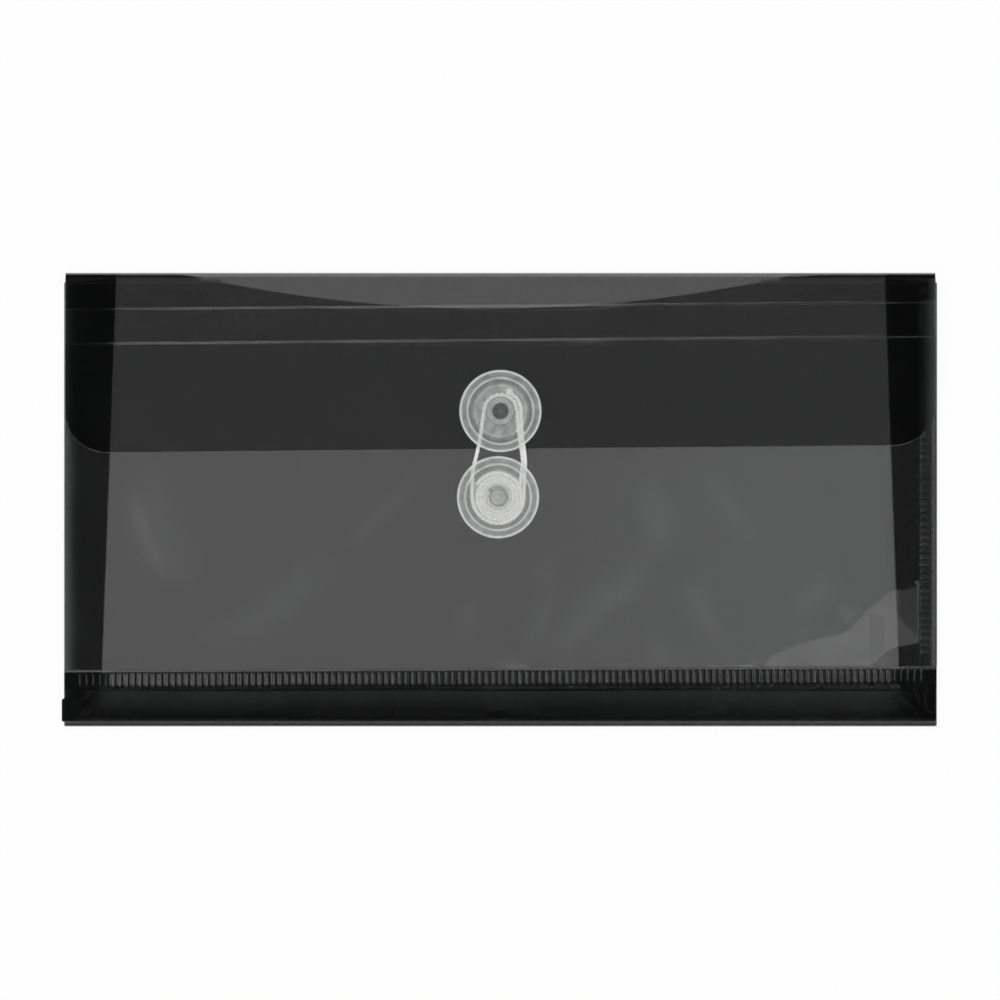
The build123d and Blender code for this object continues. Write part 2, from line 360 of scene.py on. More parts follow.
# Thumb cut in the front's upper edge, a shallow arc that rises a little to the right
thumbCut = {"low": 55.69, "radius": 400.0, "tilt": 0.0076}


def cutLine(x):
    return thumbCut["low"] + thumbCut["tilt"] * x + x ** 2 / (2 * thumbCut["radius"])


# Back panel and the roll over the top edge, one sheet. The roll is pressed flatter towards its ends,
# and it is denser where the front and the gussets lie behind it
back = {
    "middle": 0.15, "step": 4.0, "sag": 0.03, "sagLengths": (23, 17), "sagReach": 30, "sagTop": 55,
    "rollCentre": 1.3, "rollRadius": 1.15, "rollReach": 1.4, "rollSteps": 22,
    "pressedSpan": (86.0, 96.0), "pressed": (2.6, 6.0), "rimTone": 0.42, "rimFrom": 65.25,
    "doubled": -0.23, "doubledFrom": 63.2, "cutSpan": (72, 98), "stacked": -0.17, "stackedSide": 112.1,
}
layerEdges = [back["stackedSide"] - 0.3, back["stackedSide"] + 0.3, *range(*back["cutSpan"])]
across = gridLines(-sideLine, sideLine, back["step"], *layerEdges, *(-x for x in layerEdges))
up = gridLines(bottomLine, foldLine, back["step"], back["doubledFrom"] - 0.1, back["doubledFrom"] + 0.1)
roll = np.linspace(0, math.pi, back["rollSteps"])[1:, None]
pressedShare = smooth(np.abs(across), *back["pressedSpan"])
power = 2 / (back["pressed"][0] + (back["pressed"][1] - back["pressed"][0]) * pressedShare)
outward = np.sin(roll) ** power
upright = np.sign(np.cos(roll)) * np.abs(np.cos(roll)) ** power
gridX = np.repeat(across[None, :], len(up) + len(roll), 0)
gridY = np.concatenate([
    np.repeat(up[:, None], len(across), 1),
    foldLine + back["rollReach"] * outward,
])
gridZ = np.concatenate([
    np.full((len(up), len(across)), back["middle"]),
    back["rollCentre"] - back["rollRadius"] * upright,
])
waveX, waveY = back["sagLengths"]
lift = back["sag"] * (1 + np.sin(gridX / waveX) * np.sin(gridY / waveY + 0.6))
gridZ = gridZ + lift * (gridY < back["sagTop"]) * bump(gridY, 0, back["sagReach"])
# The outer rim of the roll is painted paler by rimTone, a painted highlight along the top fold
rimEnd = foldLine + back["rollReach"]
rollTone = back["rimTone"] * smooth(gridY, back["rimFrom"], rimEnd)
layered = back["doubled"] * (gridY < cutLine(gridX))
layered = layered + back["stacked"] * (np.abs(gridX) > back["stackedSide"])
layered = layered * (gridY > back["doubledFrom"])
backPiece = sheetPiece(
    "back_sheet", gridShell(np.stack([gridX, gridY, gridZ], -1), half, half, rollTone + layered)
)
ridePiece(backPiece, "back", "back_panel", "top_fold")

# Gussets: each half turns round the outer fold from its panel, and the rear half carries the inner fold
gusset = {
    "depthMouth": 14.9, "depthBottom": 10.1, "gap": 0.15, "step": 3.0, "foldWhiteningAndHighlight": 0.10,
    "rear": {"parent": "back", "panel": 0.15, "layer": 0.65}, "innerFold": 0.9,
    "front": {"parent": "front", "panel": 1.65, "layer": 1.15},
    "mouthDrop": 1.15, "mouthFade": 6.0, "mouthLines": (0.6, 1.4), "mitre": 1.206,
    "tuckDrop": 0.23, "tuckRamp": 0.4, "tuckHalf": 0.05, "tuckEarly": 0.1,
    "blendIn": (0.1, 0.07), "blendUp": (0.165, 0.36),
}
taper = (gusset["depthMouth"] - gusset["depthBottom"]) / (foldLine - lowEdge)
cornerDepth = gusset["depthBottom"] / (1 - taper)
mitreStart = gusset["depthBottom"] / (gusset["mitre"] - taper)
mouthLine = foldLine - gusset["gap"]


# Points of one half from the panel's edge round the fold and in over the layer:
# reach is how far in from the outline, height the layer's middle, thin its half thickness.
# From tuckFrom on, a side half passes thin between the bottom half and its own panel
def gussetPath(depth, panelZ, layerZ, tuckFrom):
    middle = (panelZ + layerZ) / 2
    turnSide = math.copysign(1, layerZ - panelZ)
    reach = foldReach - blank["fold"] * np.sin(foldTurn)
    height = middle - turnSide * blank["fold"] * np.cos(foldTurn)
    depth = max(depth, foldReach + 0.05)
    flat = np.linspace(foldReach, depth, 8)[1:]
    layer = np.full(len(flat), layerZ)
    thin = np.full(len(flat), half)
    if tuckFrom < depth - 0.1:
        rampStart = max(tuckFrom, foldReach + 0.02)
        rampEnd = rampStart + min(gusset["tuckRamp"], (depth - rampStart) / 2)
        flat = np.concatenate([np.linspace(foldReach, rampStart, 5)[1:], np.linspace(rampEnd, depth, 3)])
        layer[4:] -= turnSide * gusset["tuckDrop"]
        thin[4:] = gusset["tuckHalf"]
    return (
        np.concatenate([reach, flat]), np.concatenate([height, layer]),
        np.concatenate([np.full(len(reach), half), thin]),
    )


def gussetPiece(node, rows, layer, placePoint, innerRows):
    heights = gusset[layer]
    grid, tones, thickness = [], [], []
    for along, depth, tuckFrom in rows:
        reach, height, thin = gussetPath(depth, heights["panel"], heights["layer"], tuckFrom)
        grid.append([placePoint(along, r, z) for r, z in zip(reach, height)])
        # The turn of each fold is paler: whitening of the crease, with a painted highlight where the bend
        # catches light
        tones.append(gusset["foldWhiteningAndHighlight"] * (reach < foldReach - 0.02))
        thickness.append(thin)
    shells = [gridShell(grid, thickness, thickness, tones)]
    if layer == "rear":
        turn = blank["fold"] * np.sin(foldTurn)
        height = gusset["innerFold"] - blank["fold"] * np.cos(foldTurn)
        inner = [
            [placePoint(along, depth + t, z) for t, z in zip(turn, height)] for along, depth, _ in innerRows
        ]
        # The inner fold takes half of it, whitening and painted highlight alike
        shells.append(gridShell(inner, half, half, gusset["foldWhiteningAndHighlight"] / 2))
    piece = sheetPiece(f"{node}_sheet", *shells)
    towards = math.copysign(1, heights["layer"] - heights["panel"])
    middleRow = rows[len(rows) // 2][0]
    start, end = (
        [v * mm for v in placePoint(middleRow, foldReach - inward, heights["panel"] + towards * rise)]
        for inward, rise in zip(gusset["blendIn"], gusset["blendUp"])
    )
    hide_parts(node)
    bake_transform(piece)
    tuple(start)
    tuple(end)


# The mouth end slopes back to the outer fold, clear of the flap's strips when they stand up
def sidePoint(side, y, reach, z):
    share = np.clip((y - mouthLine) / gusset["mouthFade"] + 1, 0, 1)
    drop = gusset["mouthDrop"] * share * max(0, 1 - reach / gusset["depthMouth"])
    return side * (outEdge - reach), y - drop, z


sideLines = gridLines(
    bottomLine, mouthLine, gusset["step"], lowEdge + mitreStart, lowEdge + cornerDepth,
    lowEdge + cornerDepth * gusset["mitre"], *(mouthLine - v for v in gusset["mouthLines"]),
)
sideRows = []
for y in sideLines:
    rise = y - lowEdge
    depth = min(gusset["depthBottom"] + rise * taper, gusset["mitre"] * rise)
    sideRows.append((y, depth, rise / gusset["mitre"] - gusset["tuckRamp"] - gusset["tuckEarly"]))
for sideName, side in (("left", -1), ("right", 1)):
    for layer in ("rear", "front"):
        rows = sideRows[::-1] if (side > 0) != (layer == "front") else sideRows
        gussetPiece(
            f"{sideName}_gusset_{layer}", rows, layer, lambda y, reach, z: sidePoint(side, y, reach, z),
            [row for row in rows if row[0] > lowEdge + cornerDepth],
        )

cornerEnd = outEdge - cornerDepth / gusset["mitre"]
bottomLines = gridLines(-sideLine, sideLine, gusset["step"], -cornerEnd, cornerEnd)
bottomRows = [(x, min(cornerDepth, gusset["mitre"] * (outEdge - abs(x))), cornerDepth) for x in bottomLines]
for layer in ("rear", "front"):
    rows = bottomRows[::-1] if layer == "front" else bottomRows
    gussetPiece(
        f"bottom_gusset_{layer}", rows, layer, lambda x, reach, z: (x, lowEdge + reach, z),
        [row for row in rows if row[1] > cornerDepth - 0.01],
    )
print("back and gussets made")

# Front panel with the thumb cut, its lower right corner bent to a flat facet and a few soft wrinkles,
# each given by its two ends, its width and its steepest slope
front = {
    "middle": 1.65, "edge": 63.15, "step": 1.25, "fineStep": 0.55, "lowStep": 2.0,
    "plainTop": 20.0, "topRows": 14,
    "rollWidth": 4.2, "rollDrop": 0.05, "rollTone": 0.07, "rollLines": (0.4, 0.8, 1.3, 2.0),
    "swell": 0.10, "swellX": (-8, 48), "swellY": (-18, 16), "flatBelow": -49.4, "underFlap": (11.0, 15.5),
    "facetSlope": 0.04, "facetRight": 121.9, "facetArea": (74.0, -48.9, 122.0, -18.0),
    "facetFade": 9.0, "fadeShorter": 0.78, "fadeSpan": (104.0, 118.0),
    "facetCrest": (
        (76.0, -48.6), (79.3, -44.9), (85.2, -42.3), (93.3, -39.8), (98.6, -38.9),
        (101.5, -37.3), (106.1, -32.4), (110.8, -28.6), (114.3, -26.2), (121.9, -25.0),
    ),
    "facetFoot": (
        (70.0, -48.6), (106.8, -48.6), (108.5, -47.2), (112.0, -44.3), (114.3, -43.1), (122.0, -41.6),
    ),
    "gussetEdge": 115.8, "gussetSteeper": 0.25,
    "wrinkles": (
        ((-23.8, 7.8), (-46.1, -17.0), 1.3, 0.017),
        ((-46.1, -17.0), (-86.0, -44.0), 2.8, 0.016),
        ((43.0, 8.0), (44.5, -14.0), 3.2, 0.022),
        ((44.5, -14.0), (13.0, -45.0), 3.2, 0.017),
        ((60.0, 9.0), (74.5, -12.5), 1.8, 0.024),
        ((55.2, -22.2), (61.2, -41.1), 1.8, 0.024),
        ((11.0, -17.0), (15.5, -24.0), 1.6, 0.022),
        ((15.5, -24.0), (8.5, -44.4), 1.8, 0.022),
        ((96.4, -21.0), (86.0, -34.0), 2.4, 0.022),
        ((83.5, -41.0), (93.0, -37.9), 0.7, 0.012),
        ((-105.0, 9.0), (-92.0, -26.0), 4.5, 0.02),
        ((-8.0, -29.0), (-11.0, -40.0), 1.8, 0.02),
        ((-2.0, -47.2), (9.0, -47.6), 1.2, 0.03),
        ((44.0, -40.0), (45.5, -46.5), 1.2, 0.03),
    ),
    "wander": (0.7, 6.5), "paintedWrinkleReflection": 0.05, "cutTone": 0.06,
    "paleRight": 0.06, "paleFrom": (0.0, 80.0), "paleTo": (111.0, 115.0),
}


# Height of the flat facet above the tabs that hold its two lower sides, steeper over the gusset
def facetRise(x, y):
    foot = np.interp(x, *np.transpose(front["facetFoot"]))
    run = front["facetRight"] - x
    gussetRun = np.minimum(run, front["facetRight"] - front["gussetEdge"])
    run = run + front["gussetSteeper"] * gussetRun
    return front["facetSlope"] * np.maximum(np.minimum(y - foot, run), 0)


# Behind its crest the facet's height dies away evenly
def behindCrest(x, y):
    crestX, crestY = np.transpose(front["facetCrest"])
    pointX = np.linspace(crestX[0], crestX[-1], 60)
    pointY = np.interp(pointX, crestX, crestY)
    distance = np.hypot(x[..., None] - pointX, y[..., None] - pointY)
    weight = (distance + 0.05) ** -4
    height = (weight * facetRise(pointX, pointY)).sum(-1) / weight.sum(-1)
    fade = front["facetFade"] * (1 - front["fadeShorter"] * smooth(x, *front["fadeSpan"]))
    return height * bump(distance.min(-1), 0, fade)


def wrinkleRidges(x, y):
    stray, strayLength = front["wander"]
    for start, end, width, slope in front["wrinkles"]:
        run = np.subtract(end, start)
        length = math.hypot(*run)
        along = ((x - start[0]) * run[0] + (y - start[1]) * run[1]) / length
        side = ((x - start[0]) * run[1] - (y - start[1]) * run[0]) / length
        side = side + stray * np.sin(along / strayLength + start[0])
        ends = smooth(along, -width, 0.35 * length) * (1 - smooth(along, 0.65 * length, length + width))
        yield ends * bump(side, 0, width), width, slope


def frontRelief(x, y):
    flatBelow = front["flatBelow"]
    crestLine = np.interp(x, *np.transpose(front["facetCrest"]))
    relief = np.where(y < crestLine, facetRise(x, y), behindCrest(x, y))
    swell = front["swell"] * bump(x, *front["swellX"]) * bump(y, *front["swellY"])
    relief = relief + swell * smooth(y, flatBelow, flatBelow + 3.4)
    for ridge, width, slope in wrinkleRidges(x, y):
        height = slope * width / 0.607    # a bump is steepest at one width out, by 0.607 of its height
        relief = relief + height * ridge * smooth(y, flatBelow, flatBelow + 1.4)
    return relief * (1 - smooth(y, *front["underFlap"]))


rollStart = -sideLine + front["rollWidth"]
facetLeft, facetLow, facetEnd, facetHigh = front["facetArea"]
across = np.concatenate([
    gridLines(-sideLine, facetLeft, front["step"], *(-sideLine + v for v in front["rollLines"]), rollStart),
    gridLines(facetLeft, facetEnd, front["fineStep"])[1:],
    gridLines(facetEnd, sideLine, front["step"])[1:],
])
topLine = np.minimum(cutLine(across), front["edge"])
plainRows = np.concatenate([
    gridLines(bottomLine, facetLow, front["lowStep"]),
    gridLines(facetLow, facetHigh, front["fineStep"])[1:],
    gridLines(facetHigh, front["plainTop"], front["step"])[1:],
])
share = np.linspace(0, 1, front["topRows"])[1:, None]
gridY = np.concatenate([
    np.repeat(plainRows[:, None], len(across), 1),
    front["plainTop"] + share * (topLine - 2 * edgeRound - front["plainTop"])[None, :],
    [topLine - edgeRound, topLine],
])
gridX = np.repeat(across[None, :], len(gridY), 0)
rollShare = np.clip((rollStart - gridX) / front["rollWidth"], 0, 1)
gridZ = front["middle"] + frontRelief(gridX, gridY) - front["rollDrop"] * rollShare ** 2
thickness = np.full(gridY.shape, half)
thickness[-1] *= blank["edgeThin"]
tones = front["rollTone"] * rollShare ** 1.5
# Soft pale streaks along the wrinkles are painted reflections of the lamps on the wavy film
tones += front["paintedWrinkleReflection"] * sum(ridge for ridge, _, _ in wrinkleRidges(gridX, gridY))
paleShare = smooth(gridX, *front["paleFrom"]) * (1 - smooth(gridX, *front["paleTo"]))
tones += front["paleRight"] * paleShare
tones[-2:] += front["cutTone"]
frontPiece = sheetPiece(
    "front_sheet", gridShell(np.stack([gridX, gridY, gridZ], -1), thickness, thickness, tones)
)
ridePiece(frontPiece, "front", "front_panel")


# Places of a row of weld bars between two ends of a tab
def barPlaces(tab, start, end):
    count = int((end - start - 2 * tab["margin"]) / tab["pitch"])
    return [(start + end) / 2 + (i - (count - 1) / 2) * tab["pitch"] for i in range(count)]


# Grid lines across the bars, and at each line how far it is pressed in and how pale it is
def barLines(tab, start, end, bars):
    rows = [(start, 0, 0), (start + tab["inset"], 0, 0)]
    reach = tab["bar"] / 2
    for place, depth, tone in bars:
        rows += [
            (place - reach - tab["slope"], 0, 0), (place - reach, depth, 0.8 * tone), (place, depth, tone),
            (place + reach, depth, 0.8 * tone), (place + reach + tab["slope"], 0, 0),
        ]
    return np.transpose([*rows, (end - tab["inset"], 0, 0), (end, 0, 0)])


# Bottom seam tab, welded in short upright bars along its upper edge, with a small ear at the left end.
# Its upper edge slants up to the right
tab = {
    "middle": 1.95, "top": -49.25, "lift": 0.26, "tilt": 0.0048, "slantRows": (-63.5, -55.0),
    "pitch": 1.95, "margin": 2.5, "inset": 0.4, "bar": 0.4, "slope": 0.25, "depth": 0.03,
    "barLow": -53.9, "barHigh": -50.55, "endFrom": 114.0, "endDepth": 0.35, "endTone": 0.2,
    "barTone": (0.01, 0.12), "gapTone": -0.5, "stripFrom": (-55.5, -55.1), "stripTone": -0.25,
    "bandTone": 0.045, "bandRows": (-64.0, -55.5), "bandEnds": (112.0, 121.0),
    "score": -64.25, "scoreHeight": 0.08, "scoreTone": 0.03, "lowRim": -65.7, "lowRimTone": 0.06,
    "bead": -49.5, "beadHeight": 0.10, "rimTone": 0.14, "edgeAbove": 0.02, "edgeBelow": 0.12,
    "curlFrom": -64.6, "curlLength": 1.25, "curl": 0.75,
    "earOut": 0.7, "earLow": (-64.8, -64.3), "earHigh": (-57.9, -57.4), "earTone": -0.52, "seed": 7,
    "curlRows": (-65.85, -65.7, -65.45, -65.1, -64.75, -64.6, -64.45, -64.25, -64.05, -63.9, -63.5),
    "plainRows": (-62.0, -60.0, -57.9, -57.4, -56.4, -56.0, -55.6, -55.2, -54.9),
    "barRows": (-53.2, -52.3, -51.4), "rimRows": (-50.0, -49.75, -49.6, -49.45, -49.33),
}
chance = random.Random(tab["seed"])
barLow, barHigh = tab["barLow"], tab["barHigh"]
bars = []
for place in barPlaces(tab, -outEdge, outEdge):
    atEnd = abs(place) > tab["endFrom"]
    barTone = chance.uniform(*tab["barTone"]) * (tab["endTone"] if atEnd else 1.0)
    bars.append((place, tab["endDepth"] if atEnd else 1.0, barTone))
lines, pressed, pale = barLines(tab, -outEdge, outEdge, bars)
rows = np.array([
    *tab["curlRows"], *tab["plainRows"], barLow - 0.5, barLow - 0.25,
    barLow, *tab["barRows"], barHigh, barHigh + 0.25, *tab["rimRows"], tab["top"],
])[:, None]
inBar = ((rows >= barLow - 0.01) & (rows <= barHigh + 0.01)).astype(float)
ear = tab["earOut"] * smooth(rows, *tab["earLow"]) * (1 - smooth(rows, *tab["earHigh"]))
gridX = lines - ear * (1 - smooth(lines, -127.0, -124.0))
gridY = rows + smooth(rows, *tab["slantRows"]) * (tab["lift"] + tab["tilt"] * lines)
curl = tab["curl"] * np.clip((tab["curlFrom"] - rows) / tab["curlLength"], 0, 1) ** 2
gridZ = np.full(gridX.shape, tab["middle"]) - curl
beadRise = tab["scoreHeight"] * bump(rows, tab["score"], 0.22)
beadRise += tab["beadHeight"] * bump(rows, tab["bead"], 0.16)
above = half + beadRise - tab["depth"] * inBar * pressed
above[-1] = tab["edgeAbove"]
below = np.full(gridX.shape, half)
below[-1] = tab["edgeBelow"]
welded = (rows > barLow - 0.3) & (rows < barHigh + 0.5)
tones = inBar * pale + tab["gapTone"] * welded * (1 - inBar * pressed)
rimNoise = 0.65 + 0.35 * np.sin(lines / 7.3) * np.sin(lines / 19.0 + 1.0)
leftRim = 1 + 0.7 * bump(lines, -112.0, 14.0)
tones += tab["rimTone"] * bump(rows, tab["bead"] + 0.02, 0.2) * rimNoise * leftRim
strip = smooth(gridY, *tab["stripFrom"])    # under the bars, above the gusset's inner fold
band = tab["bandTone"] * smooth(rows, *tab["bandRows"])
band = band * (1 - smooth(np.abs(lines), *tab["bandEnds"]))
tones += (rows < barLow - 0.4) * (band * (1 - strip) + tab["stripTone"] * strip)
tones += tab["scoreTone"] * bump(rows, tab["score"], 0.3)
tones += tab["lowRimTone"] * bump(rows, tab["lowRim"], 0.25)
tones += tab["earTone"] * (ear > 0.5) * (lines < -126.5)
tabPiece = sheetPiece(
    "bottom_seam", gridShell(np.stack([gridX, gridY, gridZ], -1), above, below, np.clip(tones, -1, 1))
)
ridePiece(tabPiece, "front", "bottom_seam_tab")

# Right seam tab with its column of bars, fainter than the bottom ones and faintest under the flap
tab = {
    "middle": 1.95, "inner": 121.9, "bottom": -48.3, "top": 63.15,
    "pitch": 1.95, "margin": 2.5, "inset": 0.3, "bar": 0.9, "slope": 0.3, "depth": 0.05,
    "barIn": 122.5, "barOut": 124.8, "barTone": (0.0, 0.05), "flapFrom": 14.0, "flapTone": 0.45,
    "baseTone": (0.03, 0.06), "bead": 125.9, "beadHeight": 0.10, "beadTone": 0.05,
    "beadFade": (-20.0, 12.0), "innerTone": 0.03, "innerThin": 0.05,
    "curlFrom": 126.1, "curlLength": 0.9, "curl": 0.55, "seed": 11,
    "innerColumns": (121.98, 122.15), "barColumns": (123.3, 124.0),
    "curlColumns": (125.4, 125.7, 125.9, 126.1, 126.4, 126.7, 126.9, 127.0),
}
chance = random.Random(tab["seed"])
bars = []
for place in barPlaces(tab, tab["bottom"], tab["top"]):
    barTone = chance.uniform(*tab["barTone"])
    bars.append((place, 1.0, barTone * (tab["flapTone"] if place > tab["flapFrom"] else 1.0)))
lines, pressed, pale = barLines(tab, tab["bottom"], tab["top"], bars)[..., None]
barIn, barOut = tab["barIn"], tab["barOut"]
columns = np.array([
    tab["inner"], *tab["innerColumns"], barIn - 0.2, barIn, *tab["barColumns"],
    barOut, barOut + 0.2, *tab["curlColumns"],
])
inBar = ((columns >= barIn - 0.01) & (columns <= barOut + 0.01)).astype(float)
gridX, gridY = np.meshgrid(columns, lines)
curl = tab["curl"] * np.clip((columns - tab["curlFrom"]) / tab["curlLength"], 0, 1) ** 2
gridZ = np.full(gridX.shape, tab["middle"]) - curl
above = half + tab["beadHeight"] * bump(columns, tab["bead"], 0.2)
above = above - tab["depth"] * pressed * inBar
above[:, 0] = tab["innerThin"]
edgeFade = 1 - 0.6 * smooth(lines, *tab["beadFade"])
tones = pale * inBar + tab["beadTone"] * bump(columns, tab["bead"], 0.25) * edgeFade
tones += tab["innerTone"] * bump(columns, tab["inner"] + 0.05, 0.15)
tones += np.interp(columns, (tab["inner"], outEdge), tab["baseTone"])
rightPiece = sheetPiece("right_seam", gridShell(np.stack([gridX, gridY, gridZ], -1), above, half, tones))
ridePiece(rightPiece, "front", "right_seam_tab")
print("front and seams made")

# Flap: one sheet in four pieces, each meeting the one above at a scored crease
flap = {
    "middle": 2.45, "halfWidth": 126.7, "rootTop": 64.55, "rootBottom": 64.1, "riseLine": 63.95,
    "creases": (56.55, 46.55), "reach": 0.3, "ridge": 0.13, "ridgeWidth": 0.2, "creaseWhiteningAndHighlight": 0.10,
    "creaseLines": (1.1, 0.75, 0.35, 0.0, -0.35, -0.75, -1.1, -1.8, -3.0),
    "upperRows": (63.0, 60.0, 57.6, 57.2), "lowerRows": (54.0, 51.0, 48.0, 47.3), "panelRows": 16,
    "edge": 14.65, "corner": 12.2, "cornerLines": 15, "step": 3.0, "sideThin": 0.4, "edgeTone": 0.05,
    "wave": 0.07, "waveTop": 45.0, "skew": 0.009, "skewTop": 63.5, "denser": -0.004, "foldRows": 10,
    "paleRight": 0.11, "rightRim": (121.0, 127.0), "paleLeft": 0.02, "leftRim": (-127.0, -124.5),
    "topDenser": -0.03, "doubledFrom": (56.6, 57.4), "doubledOut": (78.0, 88.0),
    "shineAt": (-127, -113, -111, -75, -60, -32, -5, 25, 42, 60, 90, 111, 113, 127),
    "shine": (
        (0.15, 0.2, 0.8, 1.05, 1.05, 1.6, 2.3, 1.75, 0.75, 0.6, 0.5, 0.35, 0.1, 0.1),
        (0.2, 0.25, 1.25, 1.25, 1.0, 1.1, 0.95, 1.1, 0.9, 0.85, 0.65, 0.45, 0.15, 0.15),
    ),
}
firstCrease, secondCrease = flap["creases"]
rims = [side * (flap["halfWidth"] - n * edgeRound) for side in (-1, 1) for n in (1, 2)]
flapX = gridLines(-flap["halfWidth"], flap["halfWidth"], flap["step"], *rims)


def levelRows(rows, lines):
    return np.repeat(np.array(rows, float)[:, None], len(lines), 1)


def creaseRows(crease):
    return [crease + flap["reach"], *(crease + flap["ridgeWidth"] * v for v in flap["creaseLines"])]


# Rows run from the top down
def flapPiece(name, node, lines, gridY, crease=None, lowerEdge=False):
    gridX = np.repeat(lines[None, :], len(gridY), 0)
    wave = flap["wave"] * np.sin(gridX / 31 + 0.8) * np.sin((gridY - 46.0) / 9.0)
    gridZ = flap["middle"] + wave * smooth(flap["waveTop"] - gridY, 0, 8)
    ridge = np.zeros(gridY.shape)
    # Each crease's pale line is whitening of the scored fold, raised along its length by a painted
    # highlight (shine), brightest in the middle; the same shine lifts the ridge
    if crease:
        shine = np.interp(gridX, flap["shineAt"], flap["shine"][flap["creases"].index(crease)])
        broken = (0.8 + 0.2 * np.sin(gridX / 5.1) * np.sin(gridX / 13.7 + 2.0)) * shine
        ridge = bump(gridY, crease, flap["ridgeWidth"])
    shiny = ridge * broken if crease else ridge
    thin = np.ones(gridX.shape)
    thin[:, [0, -1]] = flap["sideThin"]
    tones = flap["creaseWhiteningAndHighlight"] * shiny + flap["denser"] * (1 - ridge)
    tones += flap["paleRight"] * smooth(gridX, *flap["rightRim"]) ** 2
    tones += flap["paleLeft"] * (1 - smooth(gridX, *flap["leftRim"]))
    doubled = smooth(gridY, *flap["doubledFrom"]) * smooth(np.abs(gridX), *flap["doubledOut"])
    tones += flap["topDenser"] * doubled
    if lowerEdge:
        thin[-1] *= blank["edgeThin"]
        tones[-2:] += flap["edgeTone"]
    above = (half + flap["ridge"] * shiny) * thin
    skewShare = np.clip((flap["skewTop"] - gridY) / (flap["skewTop"] - firstCrease), 0, 1)
    grid = np.stack([gridX, gridY + flap["skew"] * gridX * skewShare, gridZ], -1)
    piece = sheetPiece(name, gridShell(grid[::-1], above[::-1], half * thin[::-1], tones[::-1]))
    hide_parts(node)
    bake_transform(piece)


rootRows = np.linspace(flap["rootTop"], flap["rootBottom"], flap["foldRows"])
flapPiece(
    "flap_root", "flap_fold_strip", flapX, levelRows(rootRows, flapX),
)
riseRows = np.linspace(flap["rootBottom"], flap["riseLine"] - 0.4, flap["foldRows"])
upperRows = [*riseRows, *flap["upperRows"], firstCrease + flap["reach"]]
flapPiece(
    "flap_upper_band", "flap_upper_strip", flapX,
    levelRows(upperRows, flapX),
)
lowerRows = [*creaseRows(firstCrease), *flap["lowerRows"], secondCrease + flap["reach"]]
flapPiece(
    "flap_lower_band", "flap_lower_strip", flapX,
    levelRows(lowerRows, flapX), firstCrease,
)
cornerStart = flap["halfWidth"] - flap["corner"]
cornerX = cornerStart + flap["corner"] * np.sin(np.linspace(0, math.pi / 2, flap["cornerLines"])[1:])
panelX = np.concatenate([-cornerX[::-1], gridLines(-cornerStart, cornerStart, flap["step"]), cornerX])
cornerDip = np.maximum(np.abs(panelX) - cornerStart, 0)
edgeY = flap["edge"] + flap["corner"] - np.sqrt(np.maximum(flap["corner"] ** 2 - cornerDip ** 2, 0))
topRows = creaseRows(secondCrease)
share = np.linspace(0, 1, flap["panelRows"])[1:-1, None]
panelY = np.concatenate([
    levelRows(topRows, panelX), topRows[-1] + share * (edgeY - topRows[-1]),
    [edgeY + 2 * edgeRound, edgeY + edgeRound, edgeY],
])
flapPiece(
    "flap_panel_sheet", "flap_panel", panelX, panelY,
    secondCrease, lowerEdge=True,
)
print("flap made")

# Tie discs: moulded with a beaded rim, a step ring and a groove, turning on a hollow rivet.
# Profiles are rows of radius, height and tone
tie = {
    "standoff": 2.0, "thickness": 0.9, "postRadius": 2.3, "headRadius": 3.95, "headHeight": 0.7,
    "float": 0.1, "washerHeight": 0.3,
    "discSegments": 96, "discSharp": 60, "rivetSegments": 64, "rivetSharp": 50,
    "upper": {
        "centre": (0.0, 25.85), "sheetTop": 2.6, "disc": "upper_disc", "post": "flap",
        "bore": 2.9, "mouth": 2.9, "throat": 2.2, "floorTone": -0.05, "ringTone": 0.3,
    },
    "lower": {
        "centre": (-0.7, 0.75), "sheetTop": 1.8, "disc": "lower_disc", "post": "front",
        "bore": 0.5, "mouth": 2.3, "throat": 2.2, "floorTone": 0.5, "ringTone": 0.0,
    },
}
# The disc's tone whitens its beads, partly for thicker plastic and partly as painted highlights on their
# bevels, and whitens the flat over the winding (radius 4.3 to 7.1) as painted light, standing in for the
# light the milky disc scatters onto the string
discProfile = (
    (2.4, 0.0, 0.0), (2.4, 0.9, 0.0), (2.6, 0.95, 0.0), (3.7, 0.95, 0.0), (4.3, 0.95, 0.29),
    (5.6, 0.9, 0.31), (7.1, 0.9, 0.29), (7.25, 1.0, 0.36), (7.45, 1.06, 0.45), (7.65, 1.0, 0.36),
    (7.8, 0.9, 0.2), (8.15, 0.88, 0.12), (8.4, 0.7, -0.1), (8.95, 0.7, -0.1), (9.2, 0.9, 0.1),
    (9.35, 1.1, 0.5), (9.6, 1.18, 0.7), (9.85, 1.1, 0.5), (10.0, 0.94, 0.2),
    (10.2, 0.9, 0.14), (11.1, 0.9, 0.16), (11.3, 1.0, 0.4), (11.45, 1.14, 0.7),
    (11.65, 1.19, 0.85), (11.85, 1.1, 0.85), (11.97, 0.85, 0.7), (12.0, 0.5, 0.6), (11.95, 0.15, 0.5),
    (11.75, 0.0, 0.4), (11.0, 0.0, 0.1), (6.0, 0.0, 0.05),
)
washerProfile = (
    (2.35, 0.02, 0.2), (2.35, 0.3, 0.2), (4.35, 0.3, 0.1), (4.5, 0.2, 0.4), (4.5, 0.1, 0.4),
    (4.35, 0.0, 0.3), (3.6, 0.0, 0.1), (3.4, 0.06, 0.1), (2.7, 0.06, 0.1), (2.5, 0.0, 0.2),
)


def tiePiece(name, kind, profile, base, centre, body, node):
    raised = [(radius, base + height, tone) for radius, height, tone in profile]
    shell = turnedShell(raised, centre, tie[kind + "Segments"])
    piece = makePiece(name, [shell], milkyPlastic, tie[kind + "Sharp"])
    ridePiece(piece, body, node)


